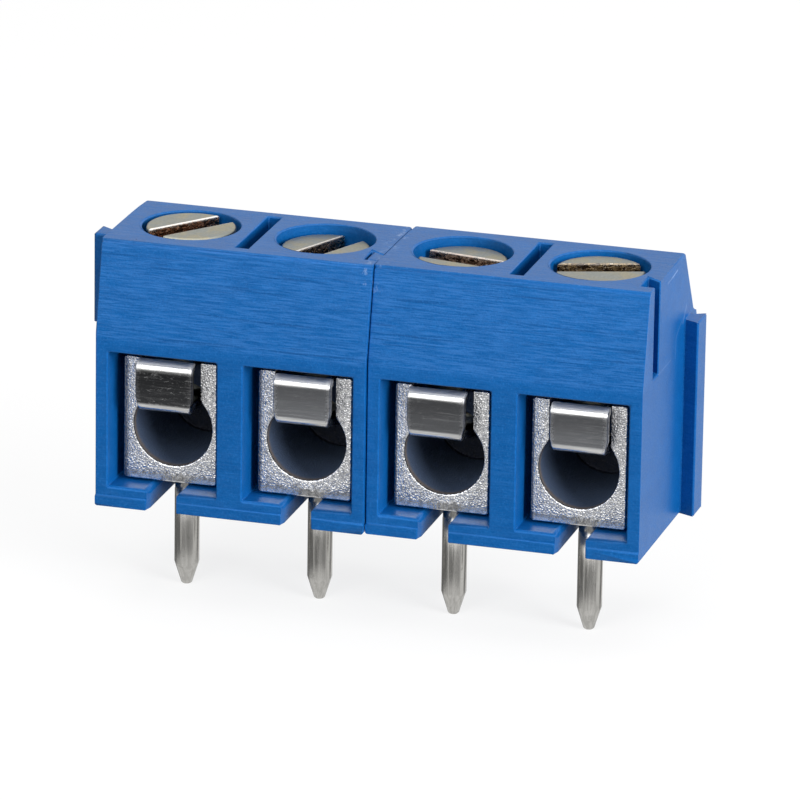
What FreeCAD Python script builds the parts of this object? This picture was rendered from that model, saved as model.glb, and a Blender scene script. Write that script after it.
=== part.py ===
"""Four-pole screw terminal block for a 5.00 mm grid: two dovetailed two-pole modules.

Frame, in millimetres: X runs along the row of poles with X = 0 where the two modules meet,
Y = 0 is the line of the solder pins with the wire entries facing -Y,
and Z = 0 is the plane of the circuit board the housings sit on, with +Z up.
"""
import FreeCAD, Part
import math
import os

V = FreeCAD.Vector

# ------------------------------------------------------------------ driving dimensions (mm)
PITCH = 5.00                 # pole to pole
MODULE_GAP = 0.03            # air between the two housings at X = 0
PLAY_BACK = 0.15             # the right housing sits this far back in the dovetail's play

# housing, outside profile in Y and Z
HEIGHT = 9.72                # top face
FRONT_Y = -2.98              # lower front plane
PLINTH_Y = -3.015            # bottom strip of the front, a hair proud
PLINTH_Z = 0.38
BAND_Z = 6.24                # where the front starts to lean back
TOP_FRONT_Y = -2.27
LEDGE_Z = 9.60               # fine rebate under the top front edge
LEDGE_IN = 0.05
TOP_REAR_Y = 2.66
REAR_BREAK = (4.02, 7.33)    # foot of the leaning rear face
REAR_Y, REAR_Z = 4.48, 7.08  # vertical rear wall and its upper end
TOP_REAR_R = 0.12
EDGE_R = 0.09                # moulded edges of the ends

# windows and cavities
WINDOW_HALF = 2.02
WINDOW_Z0, WINDOW_Z1 = 0.74, 5.753
POCKET_Y = -0.90             # the wide front pocket ends here
CAVITY_HALF = 1.77
CAVITY_Y = 2.80
CAVITY_Z0 = 0.83             # the clamp body rests on this floor, behind the pocket's

# screw wells and the relief slot between the two poles of a module
SCREW_Y = 0.262
WELL_R = 1.78
WELL_Z = 6.70
SHANK_HOLE_R = 1.45
SLOT_W, SLOT_Y0, SLOT_Y1, SLOT_Z = 0.50, -1.74, 2.20, 6.60

# notch in the floor that the pin slides into from the front
NOTCH_HALF = 0.50
NOTCH_FLARE = 0.06
NOTCH_CHAMFER = 0.16

# dovetails (module's own y)
GROOVE_FRONT_Y, GROOVE_MOUTH_Y, GROOVE_INNER_Y = -1.60, -0.90, -0.50
GROOVE_DEPTH, GROOVE_Z = 0.54, 6.30
TONGUE_FRONT_Y, TONGUE_ROOT_Y, TONGUE_OUTER_Y = -1.71, -1.09, -0.77
TONGUE_OUT, TONGUE_Z0, TONGUE_Z1 = 0.49, 6.42, 9.70
RAIL_ROOT = (2.75, 3.40)
RAIL_OUTER = (2.50, 3.71)
RAIL_OUT, RAIL_Z = 0.56, 7.24
REAR_GROOVE_ROOT = (2.52, 3.36)
REAR_GROOVE_INNER = (2.27, 3.66)
REAR_GROOVE_DEPTH, REAR_GROOVE_Z = 0.61, 7.30

# clamp body
BODY_HALF = 1.73
BODY_Y0, BODY_Y1 = -2.05, 2.65
BODY_Z0, BODY_Z1 = 0.84, 5.40
FORK_Y = -1.15               # back of the forked front wall
SHELF_Z = 5.06               # top of the threaded wall behind the fork
WIRE_R, WIRE_Z, WIRE_Y1 = 1.46, 2.90, 2.15
WIRE_DX = (0.11, 0.07, 0.10, 0.00)   # each hole's own place along the row
FORK_DX = 0.02
FORK_HALF = 1.13
THREAD_BORE_R = 1.28
TENON_R, TENON_Z = 0.28, 1.32

# wire guard, a folded strip
GUARD_T = 0.30
GUARD_FACE_Y = -2.58
GUARD_DX = (-0.08, 0.03, -0.10, 0.10)   # each guard's own place along the row
GUARD_HALF = 1.05
GUARD_NECK_HALF = 0.92       # where it passes between the fork's two posts
GUARD_FOOT_HALF = 0.93
GUARD_TOP = (5.42, 5.38, 5.38, 5.38)   # each guard's top face
GUARD_BEND_R = 0.36          # outer radius of the top bend
GUARD_LOW = (3.52, 3.58, 3.58, 3.61)   # each guard's underside at the lower bend
GUARD_LOW_R = 0.36
GUARD_FLANGE_HALF = 1.60
GUARD_FLANGE_Y1 = 1.95
GUARD_FOOT_Y1 = 1.55
GUARD_HOLE_R = 1.33

# screw, M2.5 with a slotted cheese head
HEAD_R, HEAD_H = 1.60, 1.25
HEAD_SLOT_W, HEAD_SLOT_D = 0.88, 0.62
HEAD_CHAMFER = 0.10
THREAD_R, THREAD_PITCH, THREAD_DEPTH = 1.25, 0.45, 0.24
SCREW_LENGTH = 5.90
HEAD_TOP = (9.70, 9.41, 9.44, 9.58)     # head height of each screw at rest
SLOT_ANGLE = (53.0, 66.0, -10.0, 19.0)  # driver slot direction, from +X towards +Y
SLOT_OFF = (0.0, 0.0, 0.0, 0.20)        # each slot's offset from its head's centre
TIP_GAP = 0.015

# solder pin
PIN_R, PIN_NECK_R = 0.45, 0.43
PIN_FREE_Z = -0.06
PIN_TAPER_Z, PIN_TIP_Z, PIN_TIP_R = -2.80, -3.65, 0.15

POLES = (-1.5 * PITCH, -0.5 * PITCH, 0.5 * PITCH, 1.5 * PITCH)


# ------------------------------------------------------------------ helpers
def prism_x(points, x0, x1):
    """Extrude a polygon given in (y, z) from x0 to x1."""
    wire = Part.makePolygon([V(x0, y, z) for y, z in points] + [V(x0, *points[0])])
    return Part.Face(wire).extrude(V(x1 - x0, 0, 0))


def prism_z(points, z0, z1):
    """Extrude a polygon given in (x, y) from z0 to z1."""
    wire = Part.makePolygon([V(x, y, z0) for x, y in points] + [V(points[0][0], points[0][1], z0)])
    return Part.Face(wire).extrude(V(0, 0, z1 - z0))


def box(x0, x1, y0, y1, z0, z1):
    return Part.makeBox(x1 - x0, y1 - y0, z1 - z0, V(x0, y0, z0))


def cyl_z(x, y, r, z0, z1):
    return Part.makeCylinder(r, z1 - z0, V(x, y, z0), V(0, 0, 1))


def cone_z(x, y, r0, r1, z0, z1):
    return Part.makeCone(r0, r1, z1 - z0, V(x, y, z0), V(0, 0, 1))


def fillet(shape, radius, pick):
    """Round the edges that pick() accepts."""
    edges = [e for e in shape.Edges if pick(e)]
    return shape.makeFillet(radius, edges)


def along(edge, axis):
    a, b = edge.Vertexes[0].Point, edge.Vertexes[-1].Point
    d = b - a
    return d.Length > 1e-6 and abs(getattr(d, axis)) / d.Length > 0.999


# ------------------------------------------------------------------ housing of one module
def housing():
    """One two-pole module, centred on X = 0, so its poles are at X = -2.5 and +2.5."""
    half = PITCH - MODULE_GAP / 2
    lean = (TOP_FRONT_Y - FRONT_Y) / (HEIGHT - BAND_Z)
    y_ledge = FRONT_Y + lean * (LEDGE_Z - BAND_Z)
    profile = [
        (PLINTH_Y, 0), (PLINTH_Y, PLINTH_Z), (FRONT_Y, PLINTH_Z + 0.03), (FRONT_Y, BAND_Z),
        (y_ledge, LEDGE_Z), (y_ledge + LEDGE_IN, LEDGE_Z + 0.01), (TOP_FRONT_Y + LEDGE_IN * 0.8, HEIGHT),
        (TOP_REAR_Y, HEIGHT), REAR_BREAK, (REAR_Y, REAR_Z), (REAR_Y, 0),
    ]
    body = prism_x(profile, -half, half)

    # rounded top rear edge
    body = fillet(body, TOP_REAR_R, lambda e: along(e, "x") and abs(e.Vertexes[0].Z - HEIGHT) < 1e-6
                  and e.Vertexes[0].Y > 1)
    # softened end edges: front corners and bottom corners
    body = fillet(body, EDGE_R, lambda e: abs(abs(e.CenterOfMass.x) - half) < 1e-6
                  and (e.CenterOfMass.z < 1e-6 or (abs(e.CenterOfMass.y - REAR_Y) < 1e-6)))

    cuts = []
    for x in (-PITCH / 2, PITCH / 2):
        cuts.append(box(x - WINDOW_HALF, x + WINDOW_HALF, PLINTH_Y - 1, POCKET_Y, WINDOW_Z0, WINDOW_Z1))
        cuts.append(box(x - CAVITY_HALF, x + CAVITY_HALF, POCKET_Y - 0.2, CAVITY_Y, CAVITY_Z0, WINDOW_Z1))
        # window lip: a small bevel all round the opening
        c = 0.045
        cuts.append(loft_rect(x, WINDOW_HALF + c, WINDOW_Z0 - c * 0.2, WINDOW_Z1 + c, FRONT_Y - 0.001,
                              WINDOW_HALF, WINDOW_Z0, WINDOW_Z1, FRONT_Y + c))
        # floor front edge bevel, above the plinth
        cuts.append(prism_x([(FRONT_Y - 0.1, WINDOW_Z0 - 0.10), (FRONT_Y - 0.1, WINDOW_Z0 + 0.2),
                             (FRONT_Y + 0.12, WINDOW_Z0 + 0.2), (FRONT_Y + 0.12, WINDOW_Z0), (FRONT_Y, WINDOW_Z0 - 0.10)],
                            x - WINDOW_HALF, x + WINDOW_HALF))
        cuts.append(cyl_z(x, SCREW_Y, WELL_R, WELL_Z, HEIGHT + 1))
        cuts.append(cone_z(x, SCREW_Y, WELL_R, WELL_R + 0.03, HEIGHT - 0.03, HEIGHT))
        cuts.append(cyl_z(x, SCREW_Y, SHANK_HOLE_R, WINDOW_Z1 - 0.1, WELL_Z + 0.1))
        # floor notch, flared at the front, round at the back
        n, f = NOTCH_HALF, NOTCH_FLARE
        y0 = PLINTH_Y - 0.5
        cuts.append(prism_z([(x - n - f, y0), (x - n - f, FRONT_Y + 0.05), (x - n, FRONT_Y + 0.30), (x - n, 0.0),
                             (x + n, 0.0), (x + n, FRONT_Y + 0.30), (x + n + f, FRONT_Y + 0.05), (x + n + f, y0)],
                            -1, WINDOW_Z0 + 0.1))
        cuts.append(cyl_z(x, 0.0, n, -1, WINDOW_Z0 + 0.1))
        # sloped upper rims of the notch
        k = NOTCH_CHAMFER
        for s in (-1, 1):
            wire = Part.makePolygon([V(x + s * (n - 0.01), y0, WINDOW_Z0 - k), V(x + s * (n + k), y0, WINDOW_Z0 + 0.01),
                                     V(x + s * (n - 0.01), y0, WINDOW_Z0 + 0.01), V(x + s * (n - 0.01), y0, WINDOW_Z0 - k)])
            cuts.append(Part.Face(wire).extrude(V(0, -0.9 - y0, 0)))
    cuts.append(box(-SLOT_W / 2, SLOT_W / 2, SLOT_Y0, SLOT_Y1, SLOT_Z, HEIGHT + 1))

    # right end: front groove, open at the top
    cuts.append(prism_z([(half + 0.5, GROOVE_FRONT_Y), (half - GROOVE_DEPTH, GROOVE_FRONT_Y),
                         (half - GROOVE_DEPTH, GROOVE_INNER_Y), (half, GROOVE_MOUTH_Y), (half + 0.5, GROOVE_MOUTH_Y)],
                        GROOVE_Z, HEIGHT + 1))
    # left end: rear groove, open at the bottom, which takes the neighbour's rail
    cuts.append(prism_z([(-half - 0.5, REAR_GROOVE_ROOT[0]), (-half, REAR_GROOVE_ROOT[0]),
                         (-half + REAR_GROOVE_DEPTH, REAR_GROOVE_INNER[0]), (-half + REAR_GROOVE_DEPTH, REAR_GROOVE_INNER[1]),
                         (-half, REAR_GROOVE_ROOT[1]), (-half - 0.5, REAR_GROOVE_ROOT[1])],
                        -1, REAR_GROOVE_Z))
    body = body.cut(cuts)

    # right end: rear rail
    rail = prism_z([(half - 0.05, RAIL_ROOT[0]), (half, RAIL_ROOT[0]), (half + RAIL_OUT, RAIL_OUTER[0]),
                    (half + RAIL_OUT, RAIL_OUTER[1]), (half, RAIL_ROOT[1]), (half - 0.05, RAIL_ROOT[1])], 0, RAIL_Z)
    rail = fillet(rail, 0.06, lambda e: e.CenterOfMass.x > half + RAIL_OUT - 1e-6)
    # left end: front tongue
    tongue = prism_z([(-half + 0.05, TONGUE_FRONT_Y), (-half - TONGUE_OUT, TONGUE_FRONT_Y),
                      (-half - TONGUE_OUT, TONGUE_OUTER_Y), (-half, TONGUE_ROOT_Y), (-half + 0.05, TONGUE_ROOT_Y)],
                     TONGUE_Z0, TONGUE_Z1)
    tongue = fillet(tongue, 0.09, lambda e: e.CenterOfMass.x < -half - TONGUE_OUT + 1e-6 and (
        e.CenterOfMass.z > TONGUE_Z1 - 1e-6 or abs(e.CenterOfMass.y - TONGUE_FRONT_Y) < 1e-6))
    body = body.fuse([rail, tongue]).removeSplitter()
    return body.Solids[0]


def loft_rect(xc, half_a, za0, za1, ya, half_b, zb0, zb1, yb):
    """Solid between two rectangles in X and Z at two depths in Y."""
    wires = []
    for h, z0, z1, y in ((half_a, za0, za1, ya), (half_b, zb0, zb1, yb)):
        p = [V(xc - h, y, z0), V(xc + h, y, z0), V(xc + h, y, z1), V(xc - h, y, z1)]
        wires.append(Part.makePolygon(p + [p[0]]))
    return Part.makeLoft(wires, True, True)


# ------------------------------------------------------------------ metal parts, at the pole x, module y offset dy
def clamp_body(x, dy, pin_y, wire_dx):
    body = box(x - BODY_HALF, x + BODY_HALF, BODY_Y0 + dy, BODY_Y1 + dy, BODY_Z0, BODY_Z1)
    body = fillet(body, 0.12, lambda e: along(e, "y"))
    body = fillet(body, 0.05, lambda e: abs(e.CenterOfMass.y - BODY_Y0 - dy) < 1e-6)
    wire_hole = Part.makeCylinder(WIRE_R, WIRE_Y1 - BODY_Y0 + 1, V(x + wire_dx, BODY_Y0 + dy - 1, WIRE_Z), V(0, 1, 0))
    rim = Part.makeCone(WIRE_R + 0.035, WIRE_R, 0.035, V(x + wire_dx, BODY_Y0 + dy, WIRE_Z), V(0, 1, 0))
    xf = x + FORK_DX
    fork = box(xf - FORK_HALF, xf + FORK_HALF, BODY_Y0 + dy - 1, FORK_Y + dy, WIRE_Z, BODY_Z1 + 1)
    shelf = box(x - BODY_HALF - 1, x + BODY_HALF + 1, FORK_Y + dy, BODY_Y1 + dy + 1, SHELF_Z, BODY_Z1 + 1)
    bore = cyl_z(x, SCREW_Y + dy, THREAD_BORE_R, WIRE_Z, BODY_Z1 + 1)
    tenon = cyl_z(x, pin_y, TENON_R, BODY_Z0 - 1, TENON_Z)
    return body.cut([wire_hole, rim, fork, shelf, bore, tenon]).Solids[0]


def wire_guard(x, dy, tip_z, top, dx, low):
    """C-shaped strip: flange with a screw hole, top bend, web, lower bend, foot under the screw's tip."""
    t, yf = GUARD_T, GUARD_FACE_Y + dy
    xg = x + dx
    ro, rl = GUARD_BEND_R, GUARD_LOW_R
    foot_top = tip_z - TIP_GAP
    y_screw = SCREW_Y + dy
    # side outline of the strip's outer face from flange to foot
    y_end, y_foot = GUARD_FLANGE_Y1 + dy, GUARD_FOOT_Y1 + dy
    low_top = low + t
    # the foot leaves the lower bend level at y_a and slopes to the level under the tip at y_b
    y_a, y_b = yf + rl + 0.15, y_screw - 0.95
    s = math.sin(math.radians(45))
    p = lambda y, z: V(0, y, z)
    outer = [
        Part.LineSegment(p(y_end, top), p(yf + ro, top)).toShape(),
        Part.Arc(p(yf + ro, top), p(yf + ro - ro * s, top - ro + ro * s), p(yf, top - ro)).toShape(),
        Part.LineSegment(p(yf, top - ro), p(yf, low + rl)).toShape(),
        Part.Arc(p(yf, low + rl), p(yf + rl - rl * s, low + rl - rl * s), p(yf + rl, low)).toShape(),
        Part.LineSegment(p(yf + rl, low), p(y_a, low)).toShape(),
        Part.LineSegment(p(y_a, low), p(y_b, foot_top - t)).toShape(),
        Part.LineSegment(p(y_b, foot_top - t), p(y_foot, foot_top - t)).toShape(),
        Part.LineSegment(p(y_foot, foot_top - t), p(y_foot, foot_top)).toShape(),
        Part.LineSegment(p(y_foot, foot_top), p(y_b, foot_top)).toShape(),
        Part.LineSegment(p(y_b, foot_top), p(y_a, low_top)).toShape(),
        Part.LineSegment(p(y_a, low_top), p(yf + rl, low_top)).toShape(),
        Part.Arc(p(yf + rl, low_top), p(yf + rl - (rl - t) * s, low + rl - (rl - t) * s), p(yf + t, low + rl)).toShape(),
        Part.LineSegment(p(yf + t, low + rl), p(yf + t, top - ro)).toShape(),
        Part.Arc(p(yf + t, top - ro), p(yf + ro - (ro - t) * s, top - ro + (ro - t) * s), p(yf + ro, top - t)).toShape(),
        Part.LineSegment(p(yf + ro, top - t), p(y_end, top - t)).toShape(),
        Part.LineSegment(p(y_end, top - t), p(y_end, top)).toShape(),
    ]
    side = Part.Face(Part.Wire(outer))
    side.translate(V(x - GUARD_FLANGE_HALF, 0, 0))
    strip = side.extrude(V(2 * GUARD_FLANGE_HALF, 0, 0))
    # seen from the front and above, trim the strip to its widths
    cuts = []
    for d in (-1, 1):
        # the web and top bend, then the narrower neck of the flange between the posts
        y_bend, y_neck = yf + ro + 0.05, FORK_Y + dy + 0.03
        a, b = sorted((xg + d * GUARD_HALF, x + d * 3))
        cuts.append(box(a, b, yf - 1, y_bend, low + 0.55, top + 1))
        a, b = sorted((xg + d * GUARD_NECK_HALF, x + d * 3))
        cuts.append(box(a, b, y_bend, y_neck, top - 2 * t, top + 1))
        # below, the web narrows to the foot
        pts = [V(xg + d * GUARD_HALF, yf - 1, low + 0.55), V(xg + d * GUARD_FOOT_HALF, yf - 1, low + 0.10),
               V(xg + d * GUARD_FOOT_HALF, yf - 1, 1.0), V(x + d * 3, yf - 1, 1.0), V(x + d * 3, yf - 1, low + 0.55)]
        cuts.append(Part.Face(Part.makePolygon(pts + [pts[0]])).extrude(V(0, 8, 0)))
    cuts.append(cyl_z(x, y_screw, GUARD_HOLE_R, top - t - 0.3, top + 1))
    return strip.cut(cuts).Solids[0]


def clamp_screw(x, dy, top, angle, off):
    """Slotted cheese-head screw, its thread drawn as ring grooves."""
    z_under, z_tip = top - HEAD_H, top - SCREW_LENGTH
    r, d, q = THREAD_R, THREAD_DEPTH, THREAD_PITCH
    pts = [(0, top), (HEAD_R - HEAD_CHAMFER, top), (HEAD_R, top - HEAD_CHAMFER), (HEAD_R, z_under + 0.05), (HEAD_R - 0.05, z_under),
           (r - d, z_under), (r - d, z_under - 0.35)]
    z = z_under - 0.35
    while z - q > z_tip + 0.30:
        pts += [(r, z - 0.40 * q), (r, z - 0.52 * q), (r - d, z - 0.92 * q), (r - d, z - q)]
        z -= q
    pts += [(r - d, z_tip + 0.14), (r - d - 0.14, z_tip), (0, z_tip)]
    wire = Part.makePolygon([V(a, 0, b) for a, b in pts] + [V(pts[0][0], 0, pts[0][1])])
    screw = Part.Face(wire).revolve(V(0, 0, 0), V(0, 0, 1), 360)
    slot = box(-HEAD_R - 1, HEAD_R + 1, off - HEAD_SLOT_W / 2, off + HEAD_SLOT_W / 2, top - HEAD_SLOT_D, top + 1)
    slot.rotate(V(0, 0, 0), V(0, 0, 1), angle)
    screw = screw.cut(slot)
    screw.translate(V(x, SCREW_Y + dy, 0))
    return screw.Solids[0]


def solder_pin(x):
    pts = [(0, TENON_Z), (TENON_R - 0.04, TENON_Z), (TENON_R, TENON_Z - 0.04), (TENON_R, BODY_Z0), (PIN_NECK_R, BODY_Z0),
           (PIN_R - 0.008, PIN_FREE_Z + 0.01), (PIN_R, PIN_FREE_Z), (PIN_R, PIN_TAPER_Z),
           (PIN_TIP_R + 0.05, PIN_TIP_Z + 0.05), (PIN_TIP_R, PIN_TIP_Z), (0, PIN_TIP_Z)]
    wire = Part.makePolygon([V(a, 0, b) for a, b in pts] + [V(pts[0][0], 0, pts[0][1])])
    pin = Part.Face(wire).revolve(V(0, 0, 0), V(0, 0, 1), 360)
    pin.translate(V(x, 0, 0))
    return pin.Solids[0]


# ------------------------------------------------------------------ assembly
def assembly():
    nodes = {}
    left = housing()
    right = left.copy()
    left.translate(V(-PITCH, 0, 0))
    right.translate(V(PITCH, PLAY_BACK, 0))
    nodes["housing_left"] = left
    nodes["housing_right"] = right
    for i, x in enumerate(POLES):
        dy = 0.0 if i < 2 else PLAY_BACK
        n = i + 1
        nodes["clamp_body_%d" % n] = clamp_body(x, dy, 0.0, WIRE_DX[i])
        nodes["wire_guard_%d" % n] = wire_guard(x, dy, HEAD_TOP[i] - SCREW_LENGTH, GUARD_TOP[i], GUARD_DX[i], GUARD_LOW[i])
        nodes["clamp_screw_%d" % n] = clamp_screw(x, dy, HEAD_TOP[i], SLOT_ANGLE[i], SLOT_OFF[i])
        nodes["solder_pin_%d" % n] = solder_pin(x)
    return nodes


os.makedirs("parts", exist_ok=True)
for name, shape in assembly().items():
    shape.exportStep(os.path.join("parts", name + ".step"))
    print(name, shape.isValid(), len(shape.Solids), round(shape.Volume, 3), shape.BoundBox)
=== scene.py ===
import bpy
import bmesh
import math
import numpy as np
from mathutils import Matrix, Vector


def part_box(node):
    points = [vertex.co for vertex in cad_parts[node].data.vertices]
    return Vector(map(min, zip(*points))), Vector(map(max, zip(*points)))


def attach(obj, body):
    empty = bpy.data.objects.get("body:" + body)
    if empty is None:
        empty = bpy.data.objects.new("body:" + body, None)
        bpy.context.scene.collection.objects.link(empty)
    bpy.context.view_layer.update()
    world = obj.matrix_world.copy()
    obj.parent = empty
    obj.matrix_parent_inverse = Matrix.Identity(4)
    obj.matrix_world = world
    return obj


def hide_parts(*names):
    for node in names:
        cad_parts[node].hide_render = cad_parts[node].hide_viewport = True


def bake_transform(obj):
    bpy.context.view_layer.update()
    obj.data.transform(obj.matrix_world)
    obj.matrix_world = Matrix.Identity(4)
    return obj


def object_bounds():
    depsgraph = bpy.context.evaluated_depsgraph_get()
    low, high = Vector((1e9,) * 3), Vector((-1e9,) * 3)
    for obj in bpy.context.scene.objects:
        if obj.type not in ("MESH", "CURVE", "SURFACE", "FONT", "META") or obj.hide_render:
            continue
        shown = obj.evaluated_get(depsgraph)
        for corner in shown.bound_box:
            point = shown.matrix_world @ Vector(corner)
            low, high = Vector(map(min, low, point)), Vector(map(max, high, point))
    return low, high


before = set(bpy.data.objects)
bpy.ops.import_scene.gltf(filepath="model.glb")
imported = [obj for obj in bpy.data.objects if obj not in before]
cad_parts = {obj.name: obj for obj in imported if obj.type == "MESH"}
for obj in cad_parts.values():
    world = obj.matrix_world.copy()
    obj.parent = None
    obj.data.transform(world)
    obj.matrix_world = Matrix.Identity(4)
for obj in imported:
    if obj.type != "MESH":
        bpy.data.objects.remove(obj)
CAD_BOUNDS = [list(v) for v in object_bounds()]

MM = 0.001
POLES = (-7.5, -2.5, 2.5, 7.5)
SHIFT = (0.0, 0.0, 0.15, 0.15)          # the right module sits this far back
BODY_OF = ("base", "base", "right_module", "right_module")

SCREW_Y = 0.262
HEAD_R, HEAD_H, HEAD_CHAMFER = 1.60, 1.25, 0.10
HEAD_SLOT_W, HEAD_SLOT_D, SLOT_LIP = 0.88, 0.62, 0.055
THREAD_R, THREAD_PITCH, THREAD_DEPTH = 1.25, 0.45, 0.24
SLOT_ANGLE = (53.0, 66.0, -10.0, 19.0)
SLOT_OFF = (0.0, 0.0, 0.0, 0.20)
GUARD_DX = (-0.08, 0.03, -0.10, 0.10)
GUARD_TOP = (5.42, 5.38, 5.38, 5.38)
GUARD_LOW = (3.52, 3.58, 3.58, 3.61)
WIRE_DX = (0.11, 0.07, 0.10, 0.00)


# ------------------------------------------------------------------ mesh helpers
def link(obj):
    bpy.context.scene.collection.objects.link(obj)
    return obj


def object_from(name, bm):
    """A new object from a bmesh already in metres and in the row frame."""
    mesh = bpy.data.meshes.new(name)
    bm.normal_update()
    bm.to_mesh(mesh)
    bm.free()
    return link(bpy.data.objects.new(name, mesh))


def bake_modifiers(obj):
    """Replaces the object's mesh by what its modifiers make of it."""
    dg = bpy.context.evaluated_depsgraph_get()
    mesh = bpy.data.meshes.new_from_object(obj.evaluated_get(dg), preserve_all_data_layers=True, depsgraph=dg)
    obj.modifiers.clear()
    obj.data = mesh
    return obj


def point_segment(p, a, b):
    d = b - a
    t = max(0.0, min(1.0, (p - a).dot(d) / max(d.length_squared, 1e-20)))
    return (p - (a + d * t)).length


def edge_room(e, cap):
    """How wide a bevel along this edge may be before it meets another edge of its faces."""
    a, b = e.verts[0].co, e.verts[1].co
    along = (b - a).normalized()
    room = cap
    for f in e.link_faces:
        for g in f.edges:
            if g is e:
                continue
            ga, gb = g.verts[0].co, g.verts[1].co
            if set(g.verts) & set(e.verts):
                if abs((gb - ga).normalized().dot(along)) < 0.85:
                    room = min(room, 0.45 * (gb - ga).length)
                continue
            for t in (0.02, 0.25, 0.5, 0.75, 0.98):
                room = min(room, 0.42 * point_segment(a.lerp(b, t), ga, gb))
            for t in (0.02, 0.25, 0.5, 0.75, 0.98):
                room = min(room, 0.42 * point_segment(ga.lerp(gb, t), a, b))
    return room


def cad_copy(node):
    """The CAD node's solid as a clean bmesh: corners welded, flat faces joined."""
    bm = bmesh.new()
    bm.from_mesh(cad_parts[node].data)
    bmesh.ops.remove_doubles(bm, verts=bm.verts, dist=1e-8)
    bmesh.ops.dissolve_limit(bm, angle_limit=math.radians(0.4), verts=bm.verts, edges=bm.edges,
                             use_dissolve_boundaries=False)
    return bm


def rounded(obj, width, segments=3, angle=28.0, least=0.008, widths=None, free=None):
    """Rounds the sharp edges: each as wide as it has room for, up to width (mm)."""
    bm = bmesh.new()
    bm.from_mesh(obj.data)
    layer = bm.edges.layers.float.get("bevel_weight_edge") or bm.edges.layers.float.new("bevel_weight_edge")
    for e in bm.edges:
        e[layer] = 0.0
        if not e.is_manifold or e.calc_face_angle() < math.radians(angle):
            continue
        w = width if widths is None else widths(e)
        room = w * MM if free is not None and free(e) else edge_room(e, w * MM)
        if room >= least * MM:
            e[layer] = room / (width * MM)
    bm.to_mesh(obj.data)
    bm.free()
    m = obj.modifiers.new("round", "BEVEL")
    m.limit_method = "WEIGHT"
    m.width = width * MM
    m.segments = segments
    m.use_clamp_overlap = False
    m.miter_outer = "MITER_SHARP"
    lo = [min(v.co[k] for v in obj.data.vertices) for k in range(3)]
    hi = [max(v.co[k] for v in obj.data.vertices) for k in range(3)]
    bake_modifiers(obj)
    for v in obj.data.vertices:                 # a rounded corner never stands outside the part's own box
        for k in range(3):
            v.co[k] = min(max(v.co[k], lo[k]), hi[k])
    return obj


def tidy(obj, sharp=38.0):
    """Welds what the rounding left, shades smooth with flat faces kept flat."""
    bm = bmesh.new()
    bm.from_mesh(obj.data)
    bmesh.ops.remove_doubles(bm, verts=bm.verts, dist=2e-7)
    bmesh.ops.dissolve_degenerate(bm, dist=1e-7, edges=bm.edges)
    bmesh.ops.recalc_face_normals(bm, faces=bm.faces)
    bm.to_mesh(obj.data)
    bm.free()
    for p in obj.data.polygons:
        p.use_smooth = True
    obj.data.set_sharp_from_angle(angle=math.radians(sharp))
    m = obj.modifiers.new("normals", "WEIGHTED_NORMAL")
    m.keep_sharp = True
    m.weight = 60
    return obj


def lathe(name, profile, steps, cx, cy):
    """A closed solid of revolution about a vertical line. profile: (r, z) in mm from the top centre down."""
    bm = bmesh.new()
    rings = []
    for r, z in profile:
        if r <= 1e-6:
            rings.append([bm.verts.new((cx * MM, cy * MM, z * MM))])
        else:
            rings.append([bm.verts.new(((cx + r * math.cos(2 * math.pi * i / steps)) * MM,
                                        (cy + r * math.sin(2 * math.pi * i / steps)) * MM, z * MM))
                          for i in range(steps)])
    for a, b in zip(rings, rings[1:]):
        for i in range(steps):
            j = (i + 1) % steps
            if len(a) == 1 and len(b) == 1:
                continue
            if len(a) == 1:
                bm.faces.new((a[0], b[i], b[j]))
            elif len(b) == 1:
                bm.faces.new((a[i], b[0], a[j]))
            else:
                bm.faces.new((a[i], b[i], b[j], a[j]))
    bmesh.ops.recalc_face_normals(bm, faces=bm.faces)
    return bm


def boolean(obj, cutter_bm, operation="DIFFERENCE"):
    cutter = object_from("cutter", cutter_bm)
    m = obj.modifiers.new("cut", "BOOLEAN")
    m.operation = operation
    m.solver = "EXACT"
    m.object = cutter
    bpy.context.view_layer.update()
    bake_modifiers(obj)
    bpy.data.objects.remove(cutter)
    return obj


def box_bm(x0, x1, y0, y1, z0, z1):
    bm = bmesh.new()
    v = [bm.verts.new((x * MM, y * MM, z * MM)) for z in (z0, z1) for y in (y0, y1) for x in (x0, x1)]
    for q in ((0, 2, 3, 1), (4, 5, 7, 6), (0, 1, 5, 4), (2, 6, 7, 3), (0, 4, 6, 2), (1, 3, 7, 5)):
        bm.faces.new([v[i] for i in q])
    return bm


# handling marks on the right end: (y, z) to (y, z) in mm, half width, strength
SCRATCHES = (((1.66, 9.43), (0.95, 9.36), 0.050, 0.55), ((0.95, 9.36), (0.30, 9.33), 0.030, 0.40),
             ((2.50, 7.35), (1.68, 6.97), 0.030, 0.30), ((1.68, 6.97), (1.62, 6.18), 0.030, 0.30),
             ((1.04, 6.32), (-0.70, 6.30), 0.025, 0.35), ((3.10, 7.75), (2.60, 7.20), 0.090, 0.30))


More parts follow.
